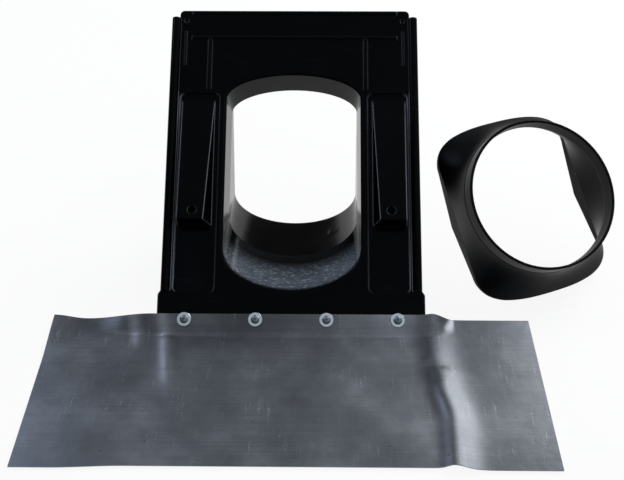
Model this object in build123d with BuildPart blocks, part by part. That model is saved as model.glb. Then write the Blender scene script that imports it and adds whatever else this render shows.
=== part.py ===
"""Roof penetration flashing: a moulded tile plate with a flue turret, a riveted lead apron and a loose collar.

The plate lies face down and leans on its turret, with the lead apron on the floor in front of its foot.
Positions on the plate are given as s, up the plate from its foot, and depth, away from the side that is seen.
"""
from build123d import *
from math import atan2, cos, degrees, exp, radians, sin, sqrt, tan
import os

# Where the pieces stand on the floor
foot_y = -53.65             # foot of the plate from the origin
plate_x = -48.35            # middle line of the plate from the origin
collar_x = 249.0            # collar's axis from the plate's middle line, at the height of its lower edge
collar_y = 147.55           # the same point from the plate's foot

# Tile plate
plate_width = 275.6
plate_length = 355.5        # foot to the ends of the side rolls
plate_thick = 3.0
wall = 3.0                  # turret and nib walls
foot_width = 281.0          # the foot strip is a little wider than the plate
foot_strip = 39.0
foot_flare = 4.0            # length over which the side widens to the foot strip
head_width = 258.0
head_reach = 9.5            # the head strip stands past the rolls by this
head_corner = 5.0
roll_radius = 5.0           # rolled side edges
roll_groove = 2.4           # radius of the groove behind each roll

# Turret: mouth in the plate, sloping hump, then a plumb neck with a level rim
mouth_width = 147.6
mouth_near = 42.8
mouth_far = 288.0
near_rise = 46.0            # the near end is half an ellipse of this rise, the far end a flatter one
far_rise = 28.5
mouth_radius = 2.5          # rounded edge where the plate turns into the turret
hump_depth = 40.0
hump_width = 142.4
hump_near = 90.0
hump_far = 285.5
neck_lean = 37.0            # angle between the neck and a line square to the plate
rim_depth = 118.0           # near side of the rim
far_lip = 3.0               # height of the neck at its far side

# Sunk channels and the hanging nibs that stand in them
channel_width = 43.8
channel_middle = 103.4      # from the plate's middle line
channel_top = 265.5
channel_foot = 41.0
channel_sink = 2.5
channel_corner = 6.0
channel_ramp = 18.0
nib_width = 36.0
nib_middle = 105.0
nib_top = 258.0
nib_hook = 115.0            # the abrupt lower face that hooks on the batten
nib_height = 23.0
nib_draft_in = 13.0
nib_draft_out = 4.0
nail_diameter = 9.0         # blind hole in the crest of each nib, in a boss of its own
nail_from_hook = 10.4

# Stiffening beads and nail dimples at the head
bead_radius = 2.6
bead_proud = 1.5
bead_left = 94.0
bead_right = 79.5
bead_bottom = 270.0
bead_level = 332.0          # the bead across the plate
bead_half = 115.0
side_bead_x = 121.5         # a short thin bead beside each roll
side_bead_radius = 1.3
side_bead_proud = 0.8
side_bead_bottom = 299.0
side_bead_top = 340.0
head_dimple = 5.0
head_dimple_deep = 1.6
head_dimple_x = 121.5
head_dimple_below = 12.0    # from the top edge of the head strip

# Lead apron
apron_width = 500.0
apron_length = 200.0
apron_thick = 1.4
apron_lap = 17.6            # how far the lead runs up on to the plate
apron_seat = 0.2            # gap under the lead on the plate
apron_set_back = 20.5       # the free wings reach this far past the plate's foot
apron_pull = 2.5            # the middle of the near edge is drawn back by the fold
fold_start = 5.0            # the lead keeps the height of the foot this far beyond its ends
left_fold = 69.0            # and comes down to the floor over these lengths
right_fold = 26.0
crease_high = 5.0           # the long crease beside the right end of the foot
crease_far_high = 1.8       # its height at the far edge
crease_wide = 9.0
crease_out = 15.0
crease_turn = 0.03          # it drifts outwards by this much for each millimetre forward
tuck_high = 3.0             # the shorter crease inside the left end of the foot
tuck_wide = 10.0
tuck_long = 125.0
tuck_out = 4.0
tuck_turn = 0.22
tuck_start = 20.0           # it rises over this length in front of the bend
curl_high = 5.0             # the far left corner is lifted
curl_wide = 34.0
curl_long = 68.0
sheet_columns = 100         # spaces between the points that the sheet is drawn through, across it
lap_rows = 4                # and along it
bend_rows = 5
open_rows = 16
sheet_nearness = 0.01

# Rivets and washers
rivet_spacing = 74.2
rivet_count = 4
rivet_from_foot = 12.0
rivet_shank = 4.8
rivet_head = 9.0
rivet_head_high = 1.9
rivet_head_edge = 0.4       # height of the head's rim
rivet_tail = 7.2
rivet_tail_long = 3.0
rivet_tail_taper = 1.0
mandrel_hole = 2.4
rivet_fit = 0.2             # holes over the shank
washer_diameter = 15.0
washer_thick = 1.3
washer_edge = 0.3           # chamfer round the washer's top
washer_seat = 0.1

# Collar
collar_slip = 2.0           # room between the collar's cheeks and the turret's neck, each side
collar_wall = 3.0
collar_end = 100.5          # from the middle to each end of the skirt
collar_end_rise = 40.4      # the ends are bowed over this length
collar_square = 2.6         # power of the bow: 2 is an ellipse, more is squarer
collar_straight = 18.0      # the skirt is upright up to this height, then it draws in to the neck
collar_flare = 1.5          # power of the draw-in: 1 is a cone, more is hollower
collar_slope = 10.9         # the lower edge rises by this angle to both ends
collar_height = 75.5        # from the lowest points of the cheeks to the rim
neck_radius = 81.5
neck_height = 17.0
neck_step = 0.4             # the neck stands back by this from the draw-in
rim_round = 1.0
collar_turn = 23.5          # how the collar lies
collar_tilt = 42.1
collar_roll = -3.3
collar_clear = 0.1          # from the floor to its lowest corner
corner_angles = (0, 12, 28, 45, 62, 78, 90)
cheek_parts = (-1, -0.5, 0, 0.5, 1)
flare_shares = (0, 0.35, 0.7, 1)

os.makedirs("parts", exist_ok=True)

# The rim's near outer corner and the plate's foot both lie on the floor, which gives the plate's slope
neck_run = tan(radians(neck_lean))
rim_near = hump_near + (rim_depth - hump_depth) * neck_run
lip_depth = hump_depth + far_lip
rim_slope = (rim_depth - lip_depth) / (hump_far - rim_near)
outer_start = hump_near - wall / cos(radians(neck_lean))
corner_depth = (lip_depth + (hump_far - outer_start + hump_depth * neck_run) * rim_slope) / (1 + rim_slope * neck_run)
corner_s = outer_start + (corner_depth - hump_depth) * neck_run
slope = atan2(corner_depth - plate_thick, corner_s)

up_plate = Vector(0, cos(slope), sin(slope))
out_of_plate = Vector(0, -sin(slope), cos(slope))
foot_point = Vector(plate_x, foot_y, plate_thick * cos(slope))
face = Plane(foot_point, x_dir=(1, 0, 0), z_dir=out_of_plate)
side = Plane(foot_point, x_dir=up_plate, z_dir=(1, 0, 0))


def across(s):
    """Plane square to the plate's length at s, with x along the plate's width and y out of its seen side."""
    return Plane(foot_point + up_plate * s, x_dir=(1, 0, 0), z_dir=up_plate * -1)


def mouth_outline(width, near, far, rise_near, rise_far):
    """Outline of the turret: straight sides between two half ellipses."""
    half = width / 2
    with BuildLine() as outline:
        EllipticalCenterArc((0, near + rise_near), half, rise_near, start_angle=180, arc_size=180)
        Line((half, near + rise_near), (half, far - rise_far))
        EllipticalCenterArc((0, far - rise_far), half, rise_far, start_angle=0, arc_size=180)
        Line((-half, far - rise_far), (-half, near + rise_near))
    make_face(outline.edges())


def turret(skin):
    """Solid turret, grown by skin on all sides: a ruled hump and a leaning neck cut off by the rim."""
    lean_skin = skin / cos(radians(neck_lean))
    hump = (hump_width + 2 * skin, hump_near - lean_skin, hump_far + skin, near_rise, far_rise)
    mouth = (mouth_width + 2 * skin, mouth_near - lean_skin, mouth_far + skin, near_rise, far_rise)
    lean = out_of_plate * -cos(radians(neck_lean)) + up_plate * sin(radians(neck_lean))
    with BuildPart() as body:
        with BuildSketch(face):
            mouth_outline(*mouth)
        with BuildSketch(face.offset(-hump_depth)):
            mouth_outline(*hump)
        loft(ruled=True)
        with BuildSketch(face.offset(-hump_depth)):
            mouth_outline(*hump)
        extrude(amount=2 * rim_depth, dir=lean)
    return body.part


rim_plane = Plane(
    foot_point + up_plate * hump_far - out_of_plate * lip_depth,
    x_dir=(1, 0, 0),
    z_dir=(up_plate * rim_slope - out_of_plate) * -1,
)


def nib(sign, shrink):
    """Wedge of one hanging nib, or the hollow behind it when it is shrunk by the wall."""
    base = -channel_sink - shrink
    rise = (nib_height + channel_sink) / (nib_top - nib_hook)
    hook = nib_hook + shrink
    drop = shrink * sqrt(1 + rise**2)
    crest = nib_height - rise * shrink - drop
    toe = hook + (crest - base) / rise
    inner = nib_middle - nib_width / 2 + shrink
    outer = nib_middle + nib_width / 2 - shrink
    high = crest - base
    with BuildPart() as wedge:
        with BuildSketch(side.offset(sign * nib_middle)):
            Polygon((toe, base), (hook, crest), (hook, base), align=None)
        extrude(amount=nib_width, both=True)
        with BuildSketch(across(hook)):
            Polygon(
                (sign * inner, base),
                (sign * outer, base),
                (sign * (outer - high * tan(radians(nib_draft_out))), crest),
                (sign * (inner + high * tan(radians(nib_draft_in))), crest),
                align=None,
            )
        extrude(amount=-(toe - hook), mode=Mode.INTERSECT)
    return wedge.part


# Tile plate: one moulding
roll_start = foot_strip + foot_flare
head_top = plate_length + head_reach
rivet_places = [(rivet_spacing * (i - (rivet_count - 1) / 2), rivet_from_foot) for i in range(rivet_count)]
nail_places = [(sign * nib_middle, nib_hook + nail_from_hook) for sign in (-1, 1)]
turret_outside, turret_inside = turret(wall), turret(0)
with BuildPart() as turret_shell:
    add(turret_outside)
    split(bisect_by=rim_plane, keep=Keep.TOP)

nibs = [nib(sign, 0) for sign in (-1, 1)]
nib_hollows = [nib(sign, wall) for sign in (-1, 1)]
with BuildPart() as bosses:
    add(nibs)
    with BuildSketch(face):
        with Locations(*nail_places):
            Circle(nail_diameter / 2 + wall)
    extrude(amount=nib_height, mode=Mode.INTERSECT)


with BuildPart() as base_plate:
    with BuildSketch(face):
        with BuildLine():
            Polyline(
                (foot_width / 2, 0),
                (foot_width / 2, foot_strip),
                (plate_width / 2, roll_start),
                (plate_width / 2, plate_length),
                (-plate_width / 2, plate_length),
                (-plate_width / 2, roll_start),
                (-foot_width / 2, foot_strip),
                (-foot_width / 2, 0),
                close=True,
            )
        make_face()
        with Locations((0, head_top / 2)):
            RectangleRounded(head_width, head_top, head_corner)
    extrude(amount=-plate_thick)

    # Turret, hollow from the seen side and cut level at its rim
    add(turret_shell.part)
    add(turret_inside, mode=Mode.SUBTRACT)
    lip = [
        edge
        for edge in base_plate.edges()
        if abs(face.to_local_coords(edge.center()).Z) < 0.01
        and abs(face.to_local_coords(edge.center()).X) < mouth_width / 2 + 0.01
        and mouth_near - 0.01 < face.to_local_coords(edge.center()).Y < mouth_far + 0.01
    ]
    fillet(lip, mouth_radius)

    # Channels, each backed so that the moulding keeps its thickness
    for sign in (-1, 1):
        channel_long = channel_top - channel_foot
        with BuildSketch(face):
            with Locations((sign * channel_middle, (channel_top + channel_foot) / 2)):
                RectangleRounded(channel_width + 2 * wall, channel_long + 2 * wall, channel_corner + wall)
        extrude(amount=-plate_thick - channel_sink)
    for sign in (-1, 1):
        with BuildSketch(face):
            with Locations((sign * channel_middle, (channel_top + channel_foot) / 2)):
                RectangleRounded(channel_width, channel_long, channel_corner)
        extrude(amount=-channel_sink, mode=Mode.SUBTRACT)
        with BuildSketch(side.offset(sign * channel_middle)):
            Polygon(
                (channel_foot - wall, -channel_sink),
                (channel_foot + channel_ramp, -channel_sink),
                (channel_foot, 0),
                (channel_foot - wall, 0),
                align=None,
            )
        extrude(amount=channel_width / 2, both=True)
    add(nibs)
    add(nib_hollows, mode=Mode.SUBTRACT)
    add(bosses.part)
    with Locations(*[face * Pos(x, s, nib_height) for x, s in nail_places]):
        Hole(nail_diameter / 2, depth=nib_height - wall)

    # Rolled side edges with a groove behind, closed at the foot
    for sign in (-1, 1):
        roll_x = sign * (plate_width / 2 - roll_radius)
        with BuildSketch(across(roll_start)):
            with Locations((roll_x, 0)):
                Circle(roll_radius)
        extrude(amount=-(plate_length - roll_start))
        with BuildSketch(across(roll_start + wall)):
            with Locations((roll_x, 0)):
                Circle(roll_groove)
            with Locations((roll_x, -roll_radius)):
                Rectangle(2 * roll_groove, 2 * roll_radius)
        extrude(amount=-(plate_length - roll_start - wall), mode=Mode.SUBTRACT)

    # Stiffening beads round the head, nail dimples and rivet holes
    bead_sunk = bead_proud - bead_radius
    side_bead_sunk = side_bead_proud - side_bead_radius
    with BuildSketch(across(bead_bottom)):
        with Locations((-bead_left, bead_sunk), (bead_right, bead_sunk)):
            Circle(bead_radius)
    extrude(amount=-(bead_level - bead_bottom))
    with BuildSketch(across(side_bead_bottom)):
        with Locations((-side_bead_x, side_bead_sunk), (side_bead_x, side_bead_sunk)):
            Circle(side_bead_radius)
    extrude(amount=-(side_bead_top - side_bead_bottom))
    with BuildSketch(side):
        with Locations((bead_level, bead_sunk), (head_top - bead_radius, bead_sunk)):
            Circle(bead_radius)
    extrude(amount=bead_half, both=True)
    with Locations(*[face * Pos(x, s, 0) for x, s in rivet_places]):
        Hole((rivet_shank + rivet_fit) / 2)
    with Locations(*[face * Pos(sign * head_dimple_x, head_top - head_dimple_below, 0) for sign in (-1, 1)]):
        Hole(head_dimple / 2, depth=head_dimple_deep)

base_plate.part.label = "base_plate"
export_step(base_plate.part, "parts/base_plate.step")


# Lead apron: one dressed sheet
def smooth(value):
    """Runs from 0 to 1 with no corner at either end."""
    value = min(1.0, max(0.0, value))
    return value * value * (3 - 2 * value)


def ridge(offset, width):
    """Soft crest across a crease."""
    return exp(-((offset / width) ** 2))


seat_height = foot_point.Z + apron_seat * cos(slope)
bend_radius = seat_height / (1 - cos(slope))
bend_long = bend_radius * slope
bend_reach = bend_radius * sin(slope)


def lapped(run):
    """Place (y, z) of the lead's underside over the foot, at a length run from its far edge."""
    if run < apron_lap:
        s = apron_lap - run
        return foot_y + s * cos(slope) - apron_seat * sin(slope), seat_height + s * sin(slope)
    start = foot_y - apron_seat * sin(slope)
    if run < apron_lap + bend_long:
        turn = slope - (run - apron_lap) / bend_radius
        return start - bend_radius * (sin(slope) - sin(turn)), bend_radius * (1 - cos(turn))
    near = foot_y + apron_set_back - apron_length + apron_pull
    share = (run - apron_lap - bend_long) / (apron_length - apron_lap - bend_long)
    return start - bend_reach + share * (near - start + bend_reach), 0.0


def apron_point(x, run):
    """Point of the lead's underside, x from the plate's middle line."""
    fold = left_fold if x < 0 else right_fold
    held = 1 - smooth((abs(x) - foot_width / 2 - fold_start) / fold)
    lap_y, lap_z = lapped(run)
    y = held * lap_y + (1 - held) * (foot_y + apron_set_back - run)
    z = held * lap_z
    crease = foot_width / 2 + crease_out + crease_turn * run
    crest = crease_far_high + (crease_high - crease_far_high) * smooth(run / apron_length)
    z += crest * ridge(x - crease, crease_wide)
    tuck = -foot_width / 2 - tuck_out + tuck_turn * run
    open_run = smooth((run - apron_lap - bend_long) / tuck_start)
    z += tuck_high * ridge(x - tuck, tuck_wide) * open_run * (1 - smooth(run / tuck_long))
    corner = smooth((-x - apron_width / 2 + curl_wide) / curl_wide) * (1 - smooth(run / curl_long))
    return Vector(plate_x + x, y, z + curl_high * corner)


columns = [apron_width * (i / sheet_columns - 1 / 2) for i in range(sheet_columns + 1)]
bend_end = apron_lap + bend_long
runs = [apron_lap * i / lap_rows for i in range(lap_rows)]
runs += [apron_lap + bend_long * i / bend_rows for i in range(bend_rows + 1)]
runs += [bend_end + (apron_length - bend_end) * i / open_rows for i in range(1, open_rows + 1)]
points = [[apron_point(x, run) for run in runs] for x in columns]
underside = Face.make_surface_from_array_of_points(points, tol=sheet_nearness)

# The sheet grows along the middle of its bend, so it is equally thick on the plate and on the floor
with BuildPart() as lead_apron:
    extrude(underside, amount=apron_thick / cos(slope / 2), dir=(0, -sin(slope / 2), cos(slope / 2)))
    with Locations(*[face * Pos(x, s, apron_lap) for x, s in rivet_places]):
        Hole((rivet_shank + rivet_fit) / 2, depth=2 * apron_lap)

lead_apron.part.label = "lead_apron"
export_step(lead_apron.part, "parts/lead_apron.step")

# Washers under the rivet heads
washer_base = apron_seat + apron_thick + washer_seat
with BuildPart() as washers:
    with BuildSketch(face.offset(washer_base)):
        with Locations(*rivet_places):
            Circle(washer_diameter / 2)
            Circle((rivet_shank + rivet_fit) / 2, mode=Mode.SUBTRACT)
    extrude(amount=washer_thick)
    chamfer(washers.edges().group_by(Axis(foot_point, out_of_plate))[-1], washer_edge)

washers.part.label = "washers"
export_step(washers.part, "parts/washers.step")

# Blind rivets: domed head, shank through the stack, set tail behind the plate
head_base = washer_base + washer_thick
with BuildPart() as rivets:
    for x, s in rivet_places:
        axis_plane = Plane(foot_point + Vector(x, 0, 0) + up_plate * s, x_dir=(1, 0, 0), z_dir=up_plate * -1)
        with BuildSketch(axis_plane):
            with BuildLine():
                crown = ThreePointArc(
                    (rivet_head / 2, head_base + rivet_head_edge),
                    (rivet_head / 3, head_base + 3 / 4 * rivet_head_high),
                    (mandrel_hole / 2, head_base + rivet_head_high),
                )
                Polyline(
                    crown @ 1,
                    (mandrel_hole / 2, head_base - washer_thick),
                    (0, head_base - washer_thick),
                    (0, -plate_thick - rivet_tail_long),
                    (rivet_tail / 2 - rivet_tail_taper, -plate_thick - rivet_tail_long),
                    (rivet_tail / 2, -plate_thick - rivet_tail_long / 2),
                    (rivet_tail / 2, -plate_thick),
                    (rivet_shank / 2, -plate_thick),
                    (rivet_shank / 2, head_base),
                    (rivet_head / 2, head_base),
                    crown @ 0,
                )
            make_face()
        revolve(axis=Axis(axis_plane.origin, out_of_plate))

rivets.part.label = "rivets"
export_step(rivets.part, "parts/rivets.step")

# Collar: a round neck on a squarish skirt, lying tilted on the floor
collar_half_width = hump_width / 2 + wall + collar_slip + collar_wall
neck_base = collar_height - neck_height


def turned(x, y, z):
    """Direction of the collar's own (x, y, z) as it lies."""
    turn, tilt, roll = radians(collar_turn), radians(collar_tilt), radians(collar_roll)
    x, z = x * cos(roll) + z * sin(roll), z * cos(roll) - x * sin(roll)
    y, z = y * cos(tilt) - z * sin(tilt), y * sin(tilt) + z * cos(tilt)
    return Vector(x * cos(turn) - y * sin(turn), x * sin(turn) + y * cos(turn), z)


def skirt_corner(angle, inset):
    """Point round one corner of the skirt, from the end of the cheek at 0 to the middle of the end at 90."""
    x = cos(radians(angle)) ** (2 / collar_square) * (collar_half_width - inset)
    y = sin(radians(angle)) ** (2 / collar_square) * collar_end_rise
    return Vector(x, collar_end - collar_end_rise - inset + y)


def collar_section(share, inset):
    """Section of the collar from the skirt, share 0, to the neck, share 1: four corners and two cheeks."""
    squareness = (1 - share) ** collar_flare
    radius = neck_radius + neck_step - inset
    cheek = skirt_corner(0, inset)
    start = degrees(atan2(cheek.Y, cheek.X))

    def drawn_in(skirt, bearing):
        neck = Vector(cos(radians(bearing)), sin(radians(bearing))) * radius
        return skirt * squareness + neck * (1 - squareness)

    corner = [drawn_in(skirt_corner(a, inset), start + (90 - start) * a / 90) for a in corner_angles]
    side_line = [drawn_in(Vector(cheek.X, cheek.Y * part), start * part) for part in cheek_parts]
    with BuildSketch(Plane.XY.offset(collar_straight + (neck_base - collar_straight) * share)) as section:
        with BuildLine() as outline:
            for x_sign, y_sign in ((1, 1), (-1, 1), (-1, -1), (1, -1)):
                Spline(*[(x_sign * point.X, y_sign * point.Y) for point in corner])
            for sign in (1, -1):
                Spline(*[(sign * point.X, point.Y) for point in side_line])
        make_face(outline.edges())
    return section.sketch


def collar_body(inset):
    """Solid collar: upright skirt, draw-in from square to round, and neck."""
    sections = [collar_section(share, inset) for share in flare_shares]
    with BuildPart() as body:
        loft(sections, clean=False)
        extrude(body.faces().sort_by(Axis.Z)[0], amount=collar_straight + inset, clean=False)
        with BuildSketch(Plane.XY.offset(neck_base)):
            Circle(neck_radius - inset)
        extrude(amount=neck_height, clean=False)
    return body.part


collar_outside, collar_inside = collar_body(0), collar_body(collar_wall)
with BuildPart() as upright_collar:
    add(collar_outside)
    add(collar_inside, mode=Mode.SUBTRACT, clean=False)

    # The lower edge is cut to a V, so that the collar can rock to the roof's pitch
    with BuildSketch(Plane.YZ):
        reach = 2 * collar_end
        rise = reach * tan(radians(collar_slope))
        Polygon((-reach, rise), (0, 0), (reach, rise), (reach, -reach), (-reach, -reach), align=None)
    extrude(amount=reach, both=True, mode=Mode.SUBTRACT, clean=False)
    fillet(upright_collar.edges().group_by(Axis.Z)[-1], rim_round)

# It lies on its near left corner
lying = Plane((0, 0, 0), x_dir=turned(1, 0, 0), z_dir=turned(0, 0, 1)).location * upright_collar.part
collar_z = collar_clear - lying.bounding_box().min.Z
with BuildPart() as collar:
    add(Pos(plate_x + collar_x, foot_y + collar_y, collar_z) * lying, clean=False)

collar.part.label = "collar"
export_step(collar.part, "parts/collar.step")
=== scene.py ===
import bpy
import math
import numpy as np
from mathutils import Matrix, Vector


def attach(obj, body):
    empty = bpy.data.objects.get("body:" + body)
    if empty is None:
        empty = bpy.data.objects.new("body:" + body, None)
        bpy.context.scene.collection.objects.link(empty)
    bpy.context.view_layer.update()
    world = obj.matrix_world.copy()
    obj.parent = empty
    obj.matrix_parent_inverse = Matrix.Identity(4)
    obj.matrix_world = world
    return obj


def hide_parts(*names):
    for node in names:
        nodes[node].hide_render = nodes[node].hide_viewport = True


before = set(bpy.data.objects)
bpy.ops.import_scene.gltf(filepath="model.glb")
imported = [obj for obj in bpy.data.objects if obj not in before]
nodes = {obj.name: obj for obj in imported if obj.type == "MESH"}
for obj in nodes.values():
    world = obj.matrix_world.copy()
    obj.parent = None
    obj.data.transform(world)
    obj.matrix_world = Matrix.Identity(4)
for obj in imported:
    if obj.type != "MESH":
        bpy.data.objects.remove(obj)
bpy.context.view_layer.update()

# Base plate: a roof tile of black polypropylene, moulded in one with its flue turret, nibs and rolled edges.
# It lies upside-down and leans on the turret. The mould was polished, and stacking has left fine scuffs,
# mostly across the width.
MM = 0.001
PLATE_X = -48.35
PLATE_THICK = 3.0
SLOPE = math.radians(38.555)
UP_PLATE = (0, math.cos(SLOPE), math.sin(SLOPE))
INTO_PLATE = (0, math.sin(SLOPE), -math.cos(SLOPE))
# The foot's seen edge is where the plate is measured from: up the plate, and in behind its face
FOOT_Y = -53.65
FOOT_Z = PLATE_THICK * math.cos(SLOPE)
FOOT_UP = (FOOT_Y * UP_PLATE[1] + FOOT_Z * UP_PLATE[2]) * MM
FOOT_IN = (FOOT_Y * INTO_PLATE[1] + FOOT_Z * INTO_PLATE[2]) * MM
# Each pair says where dust or rubbing begins to change and where the change is complete
SHELF_UP = (FOOT_UP + 74 * MM, FOOT_UP + 108 * MM)
SHELF_IN = (FOOT_IN + 1 * MM, FOOT_IN + 4 * MM)
SHELF_DEEP = (FOOT_IN + 18 * MM, FOOT_IN + 32 * MM)
SHELF_HALF = (74 * MM, 77 * MM)
CHANNEL_UP = (FOOT_UP + 262 * MM, FOOT_UP + 270 * MM)
CHANNEL_SIDE = (82 * MM, 88 * MM)
NAIL_HOLE = (105 * MM, FOOT_UP + 125.4 * MM, 0)
NAIL_CLEAR = (7 * MM, 9 * MM)
EDGE_ROUND = 1.8 * MM
# Least share of the painted edge highlight, away from the nibs
LEAST_EDGE_HIGHLIGHT = 0.25


def linear(code):
    """Linear colour of an sRGB hex value."""
    parts = [int(code[i:i + 2], 16) / 255 for i in (1, 3, 5)]
    return [p / 12.92 if p <= 0.04045 else ((p + 0.055) / 1.055) ** 2.4 for p in parts] + [1.0]


def add(tree, kind, inputs=None, **settings):
    """Adds a node, sets its properties and fills or links its sockets."""
    made = tree.nodes.new(kind)
    for name, value in settings.items():
        setattr(made, name, value)
    for socket, value in (inputs or {}).items():
        if isinstance(value, bpy.types.NodeSocket):
            tree.links.new(value, made.inputs[socket])
        else:
            made.inputs[socket].default_value = value
    return made


def material(name):
    """New material and its empty tree."""
    made = bpy.data.materials.new(name)
    made.use_nodes = True
    made.node_tree.nodes.clear()
    return made, made.node_tree


def dress(piece, look):
    """Gives a piece its one material."""
    piece.data.materials.clear()
    piece.data.materials.append(look)


def polypropylene(name, body, worn, dust, edge_highlight, gloss, rough_range):
    """Moulded black polypropylene: deep black with a clear sheen, greyer where scuffed or dusty, painted
    highlights on edges.
    """
    look, tree = material(name)
    place = add(tree, "ShaderNodeTexCoord").outputs["Object"]
    # Scuffs lie across the plate, about 40 mm long and 1.5 mm wide
    across = add(tree, "ShaderNodeMapping", {
        "Vector": place, "Scale": (1 / (40 * MM), 1 / (1.5 * MM), 1 / (1.5 * MM))})
    scuff = add(tree, "ShaderNodeTexNoise", {
        "Vector": across.outputs["Vector"], "Scale": 1.0, "Detail": 4.0, "Roughness": 0.6})
    # Rubbed patches are about 60 mm across
    patch = add(tree, "ShaderNodeTexNoise", {
        "Vector": place, "Scale": 1 / (60 * MM), "Detail": 3.0, "Roughness": 0.55})
    both = add(tree, "ShaderNodeMath", {
        0: scuff.outputs["Fac"], 1: patch.outputs["Fac"]}, operation="MULTIPLY").outputs["Value"]
    tone_shift = add(tree, "ShaderNodeMapRange", {"Value": both, "From Min": 0.28, "From Max": 0.48})
    black = add(tree, "ShaderNodeMix", {
        "Factor": tone_shift.outputs["Result"], "A": linear(body), "B": linear(worn)}, data_type="RGBA")
    # Dust gathers on the level shelf at the near end of the turret, streaked as the scuffs are
    up_plate = add(tree, "ShaderNodeVectorMath", {
        0: place, 1: UP_PLATE}, operation="DOT_PRODUCT").outputs["Value"]
    behind = add(tree, "ShaderNodeVectorMath", {
        0: place, 1: INTO_PLATE}, operation="DOT_PRODUCT").outputs["Value"]
    from_left = add(tree, "ShaderNodeSeparateXYZ", {0: place}).outputs["X"]
    aside = add(tree, "ShaderNodeMath", {0: from_left, 1: PLATE_X * MM}, operation="SUBTRACT")
    off_middle = add(tree, "ShaderNodeMath", {
        0: aside.outputs["Value"]}, operation="ABSOLUTE").outputs["Value"]
    near_end = add(tree, "ShaderNodeMapRange", {
        "Value": up_plate, "From Min": SHELF_UP[0], "From Max": SHELF_UP[1],
        "To Min": 1.0, "To Max": 0.0})
    below_face = add(tree, "ShaderNodeMapRange", {
        "Value": behind, "From Min": SHELF_IN[0], "From Max": SHELF_IN[1]})
    not_deep = add(tree, "ShaderNodeMapRange", {
        "Value": behind, "From Min": SHELF_DEEP[0], "From Max": SHELF_DEEP[1],
        "To Min": 1.0, "To Max": 0.0})
    in_turret = add(tree, "ShaderNodeMapRange", {
        "Value": off_middle, "From Min": SHELF_HALF[0], "From Max": SHELF_HALF[1],
        "To Min": 1.0, "To Max": 0.0})
    layer = add(tree, "ShaderNodeMath", {
        0: below_face.outputs["Result"], 1: not_deep.outputs["Result"]}, operation="MULTIPLY")
    inside = add(tree, "ShaderNodeMath", {
        0: layer.outputs["Value"], 1: in_turret.outputs["Result"]}, operation="MULTIPLY")
    shelf = add(tree, "ShaderNodeMath", {
        0: inside.outputs["Value"], 1: near_end.outputs["Result"]}, operation="MULTIPLY").outputs["Value"]
    streaks = add(tree, "ShaderNodeMapRange", {
        "Value": both, "From Min": 0.16, "From Max": 0.34, "To Min": 0.5})
    dusty = add(tree, "ShaderNodeMath", {0: shelf, 1: streaks.outputs["Result"]}, operation="MULTIPLY")
    grey = add(tree, "ShaderNodeMix", {
        "Factor": dusty.outputs["Value"], "A": black.outputs["Result"], "B": linear(dust)},
        data_type="RGBA")
    # Pale flecks in that dust are 5 mm long and 1.5 mm wide
    laid = add(tree, "ShaderNodeMapping", {
        "Vector": place, "Scale": (1 / (5 * MM), 1 / (1.5 * MM), 1 / (1.5 * MM))})
    fleck = add(tree, "ShaderNodeTexNoise", {"Vector": laid.outputs["Vector"], "Scale": 1.0, "Detail": 2.0})
    flecked = add(tree, "ShaderNodeMapRange", {
        "Value": fleck.outputs["Fac"], "From Min": 0.56, "From Max": 0.72})
    pale = add(tree, "ShaderNodeMath", {0: flecked.outputs["Result"], 1: shelf}, operation="MULTIPLY")
    speckled = add(tree, "ShaderNodeMix", {
        "Factor": pale.outputs["Value"], "A": grey.outputs["Result"], "B": linear("#9aa2aa")},
        data_type="RGBA")
    # Edges along the plate are rounded a little in the shading and carry a painted highlight
    normal = add(tree, "ShaderNodeNewGeometry").outputs["Normal"]
    edge = add(tree, "ShaderNodeBevel", {"Radius": EDGE_ROUND}, samples=8).outputs["Normal"]
    turned = add(tree, "ShaderNodeVectorMath", {0: edge, 1: normal}, operation="SUBTRACT")
    sideways = add(tree, "ShaderNodeSeparateXYZ", {0: turned.outputs["Vector"]}).outputs["X"]
    amount = add(tree, "ShaderNodeMath", {0: sideways}, operation="ABSOLUTE")
    # The painted edge highlight is strongest on the nibs and the outer sides of their channels,
    # but not round the nail holes
    not_head = add(tree, "ShaderNodeMapRange", {
        "Value": up_plate, "From Min": CHANNEL_UP[0], "From Max": CHANNEL_UP[1],
        "To Min": 1.0, "To Max": 0.0})
    outer = add(tree, "ShaderNodeMapRange", {
        "Value": off_middle, "From Min": CHANNEL_SIDE[0], "From Max": CHANNEL_SIDE[1]})
    spot = add(tree, "ShaderNodeCombineXYZ", {"X": off_middle, "Y": up_plate})
    from_nail = add(tree, "ShaderNodeVectorMath", {
        0: spot.outputs["Vector"], 1: NAIL_HOLE}, operation="DISTANCE")
    clear = add(tree, "ShaderNodeMapRange", {
        "Value": from_nail.outputs["Value"], "From Min": NAIL_CLEAR[0], "From Max": NAIL_CLEAR[1]})
    nib_sides = add(tree, "ShaderNodeMath", {
        0: not_head.outputs["Result"], 1: outer.outputs["Result"]}, operation="MULTIPLY")
    most = add(tree, "ShaderNodeMath", {
        0: nib_sides.outputs["Value"], 1: clear.outputs["Result"]}, operation="MULTIPLY")
    strength = add(tree, "ShaderNodeMapRange", {
        "Value": most.outputs["Value"], "To Min": LEAST_EDGE_HIGHLIGHT * edge_highlight, "To Max": edge_highlight})
    # Painted highlight along the edges, mixed towards a pale blue-grey
    painted_edge_highlight = add(tree, "ShaderNodeMapRange", {
        "Value": amount.outputs["Value"], "From Min": 0.05, "From Max": 0.5,
        "To Max": strength.outputs["Result"]})
    colour = add(tree, "ShaderNodeMix", {
        "Factor": painted_edge_highlight.outputs["Result"], "A": speckled.outputs["Result"], "B": linear("#8d939b")},
        data_type="RGBA")
    rough = add(tree, "ShaderNodeMapRange", {
        "Value": both, "From Min": 0.1, "From Max": 0.5,
        "To Min": rough_range[0], "To Max": rough_range[1]})
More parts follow.
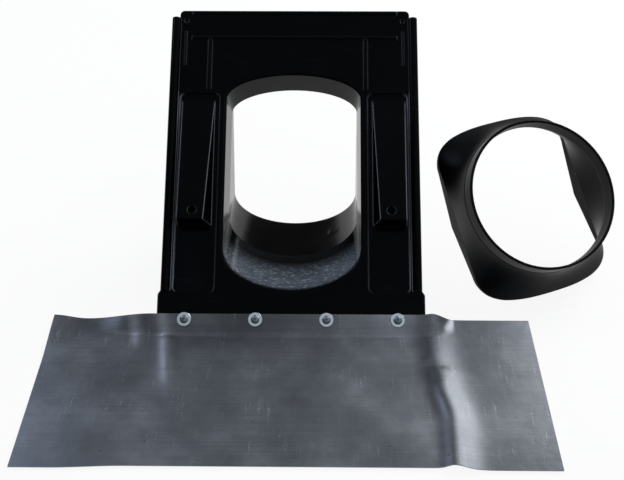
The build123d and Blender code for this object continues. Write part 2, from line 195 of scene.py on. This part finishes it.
    # The mould's grain is too fine to show, so it is drawn coarser, at 0.8 mm
    grain = add(tree, "ShaderNodeTexNoise", {"Vector": place, "Scale": 1 / (0.8 * MM), "Detail": 2.0})
    grained = add(tree, "ShaderNodeBump", {
        "Height": grain.outputs["Fac"], "Strength": 0.05, "Distance": 0.4 * MM, "Normal": edge})
    # Slow waves of the wall, about 45 mm, keep long reflections from being ruler straight
    wave = add(tree, "ShaderNodeTexNoise", {"Vector": place, "Scale": 1 / (45 * MM), "Detail": 1.0})
    waved = add(tree, "ShaderNodeBump", {
        "Height": wave.outputs["Fac"], "Strength": 0.05, "Distance": 2 * MM,
        "Normal": grained.outputs["Normal"]})
    shader = add(tree, "ShaderNodeBsdfPrincipled", {
        "Base Color": colour.outputs["Result"], "Roughness": rough.outputs["Result"], "IOR": 1.49,
        "Specular IOR Level": gloss, "Specular Tint": linear("#e2ecf8"), "Normal": waved.outputs["Normal"]})
    add(tree, "ShaderNodeOutputMaterial", {"Surface": shader.outputs["BSDF"]})
    return look


# The plate carries a strong painted highlight along its edges
dress(nodes["base_plate"], polypropylene(
    "moulded_polypropylene", body="#020203", worn="#08090b", dust="#666e77", edge_highlight=0.8, gloss=0.052,
    rough_range=(0.09, 0.2)))

# Lead apron: a strip of rolled sheet lead, riveted to the plate's foot and dressed down to the floor.
# The rolls leave lines across it, and handling leaves creases, a lifted corner, pale scuffs and pits.
# It is measured flat in millimetres: x from the plate's middle line, run from the sheet's far edge.
APRON_WIDE = 500.0
APRON_LONG = 200.0
APRON_THICK = 1.4
# The lap lies on the foot with a small gap, and the wings beside it reach further back than the foot
LAP = 17.6
SEAT = 0.2
SET_BACK = 20.5
# The lap draws the middle of the free edge back, and each wing folds down from the foot to the floor
DRAWN_BACK = 2.5
FOOT_HALF = 140.5
FOLD_START = 5.0
LEFT_FOLD = 69.0
RIGHT_FOLD = 26.0
# The long crease on the right leans in, then swings out twice, each given as (swing, start, length)
CREASE_X = FOOT_HALF + 8
CREASE_LEAN = 0.05
CREASE_SWINGS = ((6, 50, 45), (9, 95, 50))
CREASE_HIGH = 1.8
CREASE_RISE = 3.2
CREASE_RISE_RUN = 130
CREASE_INNER_SIDE = 8.5
CREASE_OUTER_SIDE = 17.0
DENT_DEPTH = 0.2
DENT_RUN = 68
DENT_WIDE = 6.0
# Short creases on the left die out in the sheet: (height, x, lean, half width, fade start, fade length)
SHORT_CREASES = ((1.8, -131, 0.13, 7.0, 50, 80), (0.9, -161, 0.15, 6.0, 20, 45))
OPEN_START = LAP - 6
OPEN_RUN = 20
CURL_HIGH = 5.0
CURL_WIDE = 34
CURL_RUN = 68
# Streaks of painted light are given in the same way: a painted highlight by the last rivet on the right, painted
# shade below the others, painted highlights along the two short creases and painted shade at the slack left
# corner
PAINTED_LIGHT_BASE = 1.14
PAINTED_LIGHT_STREAKS = (
    (0.75, 108, 0, 24.0, 15, 60),
    (-0.36, -62, 0, 75.0, 18, 40),
    (1.3, -164.5, 0.155, 6.0, 25, 25),
    (1.2, -134.8, 0.13, 6.5, 40, 80),
    (-0.45, -196, 0, 26.0, 10, 25))
# Painted shade lies along the fold inside the long crease, measured from that crease, with a painted glint
# beside the dent
FOLD_SHADE = (-0.45, -13, 0, 10.0, 115, 40)
GLINT = 0.5
GLINT_RUN = 66
GLINT_WIDE = 4.0
# Painted light on the right wing: a painted highlight at its far end, turning to painted shade towards the free
# edge
WING_EDGE = 12
WING_HIGHLIGHT = 0.1
WING_SHADE = 0.42
WING_RUN = 80
# A broad painted highlight lies on the right, and painted shade on the left end
PATCH_HIGHLIGHT = 0.28
PATCH_X = 85
PATCH_WIDE = 55.0
PATCH_RUN = 75
PATCH_LONG = 60.0
LEFT_SHADE = 0.16
LEFT_START = 90
LEFT_WIDE = 90
# The mesh is closest at the lap and the bend
COLUMNS = 330
LAP_ROWS = 8
BEND_ROWS = 8
BEND_RUN = 10
FLAT_ROWS = 110
SHARP_EDGE = math.radians(40)


def smooth(value):
    """Runs from 0 to 1 with no corner at either end."""
    value = np.clip(value, 0, 1)
    return value * value * (3 - 2 * value)


def crest(offset, wide):
    """Soft crest of a crease."""
    return np.exp(-((offset / wide) ** 2))


def streak(x, run, size, start_x, lean, wide, fade_start, fade_run):
    """Soft streak from the sheet's far edge that leans to the right and fades out."""
    return size * crest(x - start_x - lean * run, wide) * (1 - smooth((run - fade_start) / fade_run))


def beside_crease(x, run):
    """Distance to the right of the long crease."""
    drift = -CREASE_LEAN * run
    for swing, start, length in CREASE_SWINGS:
        drift = drift + swing * smooth((run - start) / length)
    return x - CREASE_X - drift


def painted_light(x, run):
    """Factor on the lead's colour at each place: raised for painted highlights, lowered for painted shade."""
    aside = beside_crease(x, run)
    fold = streak(aside, run, *FOLD_SHADE) * (1 - GLINT * crest(run - GLINT_RUN, GLINT_WIDE))
    wing = smooth(aside / WING_EDGE) * (WING_HIGHLIGHT - WING_SHADE * smooth(run / WING_RUN))
    patch = PATCH_HIGHLIGHT * crest(x - PATCH_X, PATCH_WIDE) * crest(run - PATCH_RUN, PATCH_LONG)
    left_end = LEFT_SHADE * smooth((-x - LEFT_START) / LEFT_WIDE)
    streaks = sum(streak(x, run, *values) for values in PAINTED_LIGHT_STREAKS)
    return PAINTED_LIGHT_BASE + fold + wing + patch - left_end + streaks


def apron_under(x, run):
    """Underside of the lead in millimetres: on the foot, round the bend and out over the floor."""
    lap_high = FOOT_Z + SEAT * math.cos(SLOPE)
    bend_radius = lap_high / (1 - math.cos(SLOPE))
    bend = bend_radius * SLOPE
    bend_y = FOOT_Y - SEAT * math.sin(SLOPE)
    floor_y = bend_y - bend_radius * math.sin(SLOPE)
    free_y = FOOT_Y + SET_BACK - APRON_LONG + DRAWN_BACK
    up = LAP - run
    turn = np.clip(SLOPE - (run - LAP) / bend_radius, 0, SLOPE)
    share = (run - LAP - bend) / (APRON_LONG - LAP - bend)
    on_foot = run < LAP
    in_bend = run < LAP + bend
    round_y = np.where(in_bend, bend_y - bend_radius * (math.sin(SLOPE) - np.sin(turn)),
                       floor_y + share * (free_y - floor_y))
    round_z = np.where(in_bend, bend_radius * (1 - np.cos(turn)), 0.0)
    lap_y = np.where(on_foot, bend_y + up * math.cos(SLOPE), round_y)
    lap_z = np.where(on_foot, lap_high + up * math.sin(SLOPE), round_z)
    fold = np.where(x < 0, LEFT_FOLD, RIGHT_FOLD)
    held = 1 - smooth((np.abs(x) - FOOT_HALF - FOLD_START) / fold)
    y = held * lap_y + (1 - held) * (FOOT_Y + SET_BACK - run)
    z = held * lap_z
    # The long crease rises towards the free edge and has a dent a third of the way along
    aside = beside_crease(x, run)
    dent = 1 - DENT_DEPTH * crest(run - DENT_RUN, DENT_WIDE)
    crease = (CREASE_HIGH + CREASE_RISE * smooth(run / CREASE_RISE_RUN)) * dent
    z = z + crease * crest(aside, np.where(aside < 0, CREASE_INNER_SIDE, CREASE_OUTER_SIDE))
    # The short creases begin where the lead leaves the plate
    opened = smooth((run - OPEN_START) / OPEN_RUN)
    for values in SHORT_CREASES:
        z = z + opened * streak(x, run, *values)
    # The far left corner curls up
    curl = smooth((-x - APRON_WIDE / 2 + CURL_WIDE) / CURL_WIDE) * (1 - smooth(run / CURL_RUN))
    return PLATE_X + x, y, z + CURL_HIGH * curl


def sheet(name, columns, rows):
    """Closed mesh of the lead: a seen side, an underside and the cut edges between them."""
    across = np.linspace(-APRON_WIDE / 2, APRON_WIDE / 2, columns)
    x, run = np.meshgrid(across, rows, indexing="ij")
    low = np.stack(apron_under(x, run), axis=-1)
    grow = APRON_THICK / math.cos(SLOPE / 2)
    high = low + np.array([0, -math.sin(SLOPE / 2) * grow, math.cos(SLOPE / 2) * grow])
    points = np.concatenate([low.reshape(-1, 3), high.reshape(-1, 3)]) * MM
    count = len(rows)
    seen = columns * count
    faces = []
    for i in range(columns - 1):
        for j in range(count - 1):
            a, b, c, d = i * count + j, (i + 1) * count + j, (i + 1) * count + j + 1, i * count + j + 1
            faces.append((a, b, c, d))
            faces.append((d + seen, c + seen, b + seen, a + seen))
    for i in range(columns - 1):
        for j in (0, count - 1):
            a, b = i * count + j, (i + 1) * count + j
            faces.append((a, a + seen, b + seen, b) if j == 0 else (a, b, b + seen, a + seen))
    for j in range(count - 1):
        for i in (0, columns - 1):
            a, b = i * count + j, i * count + j + 1
            faces.append((a, b, b + seen, a + seen) if i == 0 else (a, a + seen, b + seen, b))
    mesh = bpy.data.meshes.new(name)
    mesh.from_pydata(points.tolist(), [], faces)
    # Painted highlights and painted shade of the lead are held per point for its material
    tone_shift = mesh.attributes.new("painted_light", "FLOAT", "POINT")
    tone_shift.data.foreach_set("value", np.tile(painted_light(x, run).ravel(), 2).astype(np.float32))
    mesh.update()
    made = bpy.data.objects.new(name, mesh)
    bpy.context.scene.collection.objects.link(made)
    mesh.shade_smooth()
    mesh.set_sharp_from_angle(angle=SHARP_EDGE)
    return made


def rolled_lead(name):
    """Rolled sheet lead with a thin patina: satin blue-grey, roll lines, pale scuffs and dark pits."""
    look, tree = material(name)
    place = add(tree, "ShaderNodeTexCoord").outputs["Object"]
    # Clouds of patina are about 70 mm across
    cloud = add(tree, "ShaderNodeTexNoise", {
        "Vector": place, "Scale": 1 / (70 * MM), "Detail": 6.0, "Roughness": 0.6}).outputs["Fac"]
    # Roll lines run across the sheet, about 2 mm apart and 150 mm long
    along = add(tree, "ShaderNodeMapping", {
        "Vector": place, "Scale": (1 / (150 * MM), 1 / (2 * MM), 1 / (20 * MM))})
    lines = add(tree, "ShaderNodeTexNoise", {
        "Vector": along.outputs["Vector"], "Scale": 1.0, "Detail": 5.0, "Roughness": 0.65}).outputs["Fac"]
    patina = add(tree, "ShaderNodeMath", {
        0: lines, 1: 0.3, 2: cloud}, operation="MULTIPLY_ADD").outputs["Value"]
    middling = add(tree, "ShaderNodeMapRange", {"Value": patina, "From Min": 0.42, "From Max": 0.66})
    palest = add(tree, "ShaderNodeMapRange", {"Value": patina, "From Min": 0.66, "From Max": 0.9})
    dull = add(tree, "ShaderNodeMix", {
        "Factor": middling.outputs["Result"], "A": linear("#4b4e53"), "B": linear("#5a5d62")},
        data_type="RGBA")
    tone = add(tree, "ShaderNodeMix", {
        "Factor": palest.outputs["Result"], "A": dull.outputs["Result"], "B": linear("#6f7277")},
        data_type="RGBA")
    # Pale scuffs towards the free edge are broken lines 2.4 mm wide and 45 mm long, of specks of 1.6 mm,
    # in patches of 60 mm
    drawn = add(tree, "ShaderNodeMapping", {
        "Vector": place, "Scale": (1 / (2.4 * MM), 1 / (45 * MM), 1 / (45 * MM))})
    scuff = add(tree, "ShaderNodeTexNoise", {"Vector": drawn.outputs["Vector"], "Scale": 1.0, "Detail": 2.0})
    speck = add(tree, "ShaderNodeTexNoise", {"Vector": place, "Scale": 1 / (1.6 * MM), "Detail": 2.0})
    patch = add(tree, "ShaderNodeTexNoise", {"Vector": place, "Scale": 1 / (60 * MM), "Detail": 2.0})
    lined = add(tree, "ShaderNodeMapRange", {
        "Value": scuff.outputs["Fac"], "From Min": 0.6, "From Max": 0.72})
    spotted = add(tree, "ShaderNodeMapRange", {
        "Value": speck.outputs["Fac"], "From Min": 0.5, "From Max": 0.6})
    patchy = add(tree, "ShaderNodeMapRange", {
        "Value": patch.outputs["Fac"], "From Min": 0.42, "From Max": 0.56})
    broken = add(tree, "ShaderNodeMath", {
        0: lined.outputs["Result"], 1: spotted.outputs["Result"]}, operation="MULTIPLY")
    pale = add(tree, "ShaderNodeMath", {
        0: broken.outputs["Value"], 1: patchy.outputs["Result"]}, operation="MULTIPLY")
    scuffed = add(tree, "ShaderNodeMix", {
        "Factor": pale.outputs["Value"], "A": tone.outputs["Result"], "B": linear("#86898c")},
        data_type="RGBA")
    # Dark pits, 1 to 2 mm across, lie some 16 mm apart
    pit = add(tree, "ShaderNodeTexVoronoi", {"Vector": place, "Scale": 1 / (16 * MM)})
    hole = add(tree, "ShaderNodeMapRange", {
        "Value": pit.outputs["Distance"], "From Min": 0.03, "From Max": 0.06, "To Min": 0.8, "To Max": 0.0})
    pitted = add(tree, "ShaderNodeMix", {
        "Factor": hole.outputs["Result"], "A": scuffed.outputs["Result"], "B": linear("#26282b")},
        data_type="RGBA")
    # Broad painted highlights and painted shade, set to follow the photo, scale the colour. Broad
    # bright and dull places follow the photo, where rubbing and reflections can't be told apart
    painted_light_factor = add(tree, "ShaderNodeAttribute", attribute_name="painted_light").outputs["Fac"]
    colour = add(tree, "ShaderNodeVectorMath", {
        0: pitted.outputs["Result"], "Scale": painted_light_factor}, operation="SCALE")
    rough = add(tree, "ShaderNodeMapRange", {
        "Value": cloud, "From Min": 0.3, "From Max": 0.7, "To Min": 0.3, "To Max": 0.4})
    rolled = add(tree, "ShaderNodeBump", {"Height": lines, "Strength": 0.1, "Distance": 0.4 * MM})
    uneven = add(tree, "ShaderNodeBump", {
        "Height": cloud, "Strength": 0.2, "Distance": 3 * MM, "Normal": rolled.outputs["Normal"]})
    shader = add(tree, "ShaderNodeBsdfPrincipled", {
        "Base Color": colour.outputs["Vector"], "Metallic": 0.9, "Roughness": rough.outputs["Result"],
        "Normal": uneven.outputs["Normal"]})
    add(tree, "ShaderNodeOutputMaterial", {"Surface": shader.outputs["BSDF"]})
    return look


lap_rows = np.linspace(0, LAP, LAP_ROWS, endpoint=False)
bend_rows = np.linspace(LAP, LAP + BEND_RUN, BEND_ROWS, endpoint=False)
flat_rows = np.linspace(LAP + BEND_RUN, APRON_LONG, FLAT_ROWS)
apron = sheet("lead_sheet", COLUMNS, np.concatenate([lap_rows, bend_rows, flat_rows]))
dress(apron, rolled_lead("rolled_lead"))
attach(apron, "root")
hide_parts("lead_apron")

# Washers and blind rivets: stamped zinc-plated steel discs under domed aluminium heads, pulled tight.
# They clamp the lead to the foot. The plating is pale and satin, the rivet heads are a darker grey.
SMOOTHER = 0.08
ROUGHER = 0.12


def satin_metal(name, colour, rough):
    """Bright metal with a fine satin of handling marks."""
    look, tree = material(name)
    place = add(tree, "ShaderNodeTexCoord").outputs["Object"]
    # Handling marks are too fine to show, so they are drawn coarser, at 0.7 mm
    marks = add(tree, "ShaderNodeTexNoise", {
        "Vector": place, "Scale": 1 / (0.7 * MM), "Detail": 3.0}).outputs["Fac"]
    satin = add(tree, "ShaderNodeMapRange", {
        "Value": marks, "To Min": rough - SMOOTHER, "To Max": rough + ROUGHER})
    marked = add(tree, "ShaderNodeBump", {"Height": marks, "Strength": 0.1, "Distance": 0.2 * MM})
    shader = add(tree, "ShaderNodeBsdfPrincipled", {
        "Base Color": linear(colour), "Metallic": 1.0, "Roughness": satin.outputs["Result"],
        "Normal": marked.outputs["Normal"]})
    add(tree, "ShaderNodeOutputMaterial", {"Surface": shader.outputs["BSDF"]})
    return look


dress(nodes["washers"], satin_metal("zinc_plated_steel", colour="#c3ced3", rough=0.3))
dress(nodes["rivets"], satin_metal("rivet_aluminium", colour="#767e83", rough=0.34))

# Collar: a second polypropylene moulding, square below to sit over the turret and round above for the flue.
# It lies loose beside the plate. Its sheen is softer, as from a less polished mould, and it has no dust.
# It is kept out of mirror images, because the dull lead shows none of it.
nodes["collar"].visible_glossy = False
# The collar carries only a faint painted highlight along its edges
dress(nodes["collar"], polypropylene(
    "collar_polypropylene", body="#040405", worn="#0b0c0f", dust="#0b0c0f", edge_highlight=0.1, gloss=0.06,
    rough_range=(0.34, 0.46)))

# Floor, light and camera: white paper in a white room, a soft lamp on the right, a weak one on the left.
# The camera and shiny surfaces see the paper as nearly plain white, with a trace of the shadows.
FLOOR_HALF = 6.0
FLOOR_Z = -1.5 * MM
WHITE = linear("#ffffff")
RIGHT_WALL = (0.92, 0.15, 0.36)
FOCAL_PIXELS = 993.7
IMAGE_WIDTH = 624
SENSOR_WIDTH = 36.0
CAMERA_PLACE = (-15.85 * MM, -817.85 * MM, 704.7 * MM)
CAMERA_PITCH = math.radians(37.31)
CAMERA_YAW = math.radians(-0.75)
CAMERA_ROLL = math.radians(-0.17)


def white_share(tree, camera_share, mirrored_share):
    """How plainly white the camera sees a background, and how plainly mirrors and clear things show it."""
    path = add(tree, "ShaderNodeLightPath")
    mirrored = add(tree, "ShaderNodeMath", {
        0: path.outputs["Is Glossy Ray"], 1: path.outputs["Is Transmission Ray"]}, operation="MAXIMUM")
    some = add(tree, "ShaderNodeMath", {
        0: mirrored.outputs["Value"], 1: mirrored_share}, operation="MULTIPLY")
    most = add(tree, "ShaderNodeMath", {
        0: path.outputs["Is Camera Ray"], 1: camera_share}, operation="MULTIPLY")
    return add(tree, "ShaderNodeMath", {
        0: some.outputs["Value"], 1: most.outputs["Value"]}, operation="MAXIMUM").outputs["Value"]


floor_mesh = bpy.data.meshes.new("floor")
floor_corners = [(x * FLOOR_HALF, y * FLOOR_HALF, FLOOR_Z) for x, y in ((-1, -1), (1, -1), (1, 1), (-1, 1))]
floor_mesh.from_pydata(floor_corners, [], [(0, 1, 2, 3)])
floor = bpy.data.objects.new("floor", floor_mesh)
bpy.context.scene.collection.objects.link(floor)
floor_look, paper_tree = material("white_paper")
paper = add(paper_tree, "ShaderNodeBsdfDiffuse", {"Color": linear("#f2f2f2")})
glow = add(paper_tree, "ShaderNodeEmission", {"Color": WHITE, "Strength": 1.0})
paper_seen = add(paper_tree, "ShaderNodeMixShader", {
    0: white_share(paper_tree, camera_share=0.9, mirrored_share=0.93), 1: paper.outputs["BSDF"],
    2: glow.outputs["Emission"]})
add(paper_tree, "ShaderNodeOutputMaterial", {"Surface": paper_seen.outputs["Shader"]})
dress(floor, floor_look)

# The room is brightest on the right and dark near the horizon, so that upright black faces stay black
world = bpy.data.worlds.new("studio")
bpy.context.scene.world = world
world.use_nodes = True
room_tree = world.node_tree
room_tree.nodes.clear()
way = add(room_tree, "ShaderNodeTexCoord").outputs["Generated"]
to_right = add(room_tree, "ShaderNodeVectorMath", {0: way, 1: RIGHT_WALL}, operation="DOT_PRODUCT")
right_share = add(room_tree, "ShaderNodeMapRange", {
    "Value": to_right.outputs["Value"], "From Min": -0.3, "From Max": 0.6, "To Min": 0.3, "To Max": 0.8})
upward = add(room_tree, "ShaderNodeSeparateXYZ", {0: way}).outputs["Z"]
above_horizon = add(room_tree, "ShaderNodeMapRange", {
    "Value": upward, "From Min": 0.15, "From Max": 0.5, "To Min": 0.03})
brightness = add(room_tree, "ShaderNodeMath", {
    0: right_share.outputs["Result"], 1: above_horizon.outputs["Result"]}, operation="MULTIPLY")
room = add(room_tree, "ShaderNodeBackground", {
    "Color": linear("#f4f8ff"), "Strength": brightness.outputs["Value"]})
white = add(room_tree, "ShaderNodeBackground", {"Color": WHITE, "Strength": 1.0})
room_seen = add(room_tree, "ShaderNodeMixShader", {
    0: white_share(room_tree, camera_share=1.0, mirrored_share=0.03), 1: room.outputs["Background"],
    2: white.outputs["Background"]})
add(room_tree, "ShaderNodeOutputWorld", {"Surface": room_seen.outputs["Shader"]})


def lamp(name, place, aim, side, watts, colour):
    """Soft square lamp aimed at a point."""
    light = bpy.data.lights.new(name, "AREA")
    light.shape = "RECTANGLE"
    light.size = side
    light.size_y = side
    light.energy = watts
    light.color = linear(colour)[:3]
    made = bpy.data.objects.new(name, light)
    bpy.context.scene.collection.objects.link(made)
    made.location = place
    made.rotation_euler = (Vector(aim) - Vector(place)).to_track_quat("-Z", "Y").to_euler()


lamp("right", place=(0.95, 1.0, 0.9), aim=(0.05, 0, 0.05), side=0.8, watts=17, colour="#ffffff")
lamp("left", place=(-0.95, 0.55, 0.95), aim=(0.15, 0.1, 0.08), side=0.6, watts=4, colour="#dce8ff")

# The camera stands in front and looks down on the group
camera_data = bpy.data.cameras.new("camera")
camera_data.sensor_fit = "HORIZONTAL"
camera_data.sensor_width = SENSOR_WIDTH
camera_data.lens = FOCAL_PIXELS * SENSOR_WIDTH / IMAGE_WIDTH
camera_data.clip_start = 10 * MM
camera = bpy.data.objects.new("camera", camera_data)
bpy.context.scene.collection.objects.link(camera)
forward = Vector((math.sin(CAMERA_YAW) * math.cos(CAMERA_PITCH),
                  math.cos(CAMERA_YAW) * math.cos(CAMERA_PITCH), -math.sin(CAMERA_PITCH)))
level = Vector((math.cos(CAMERA_YAW), -math.sin(CAMERA_YAW), 0))
above = level.cross(forward)
right = level * math.cos(CAMERA_ROLL) + above * math.sin(CAMERA_ROLL)
top = above * math.cos(CAMERA_ROLL) - level * math.sin(CAMERA_ROLL)
camera.matrix_world = Matrix((
    (right.x, top.x, -forward.x, CAMERA_PLACE[0]),
    (right.y, top.y, -forward.y, CAMERA_PLACE[1]),
    (right.z, top.z, -forward.z, CAMERA_PLACE[2]),
    (0, 0, 0, 1)))
bpy.context.scene.camera = camera
bpy.context.scene.view_settings.view_transform = "Standard"
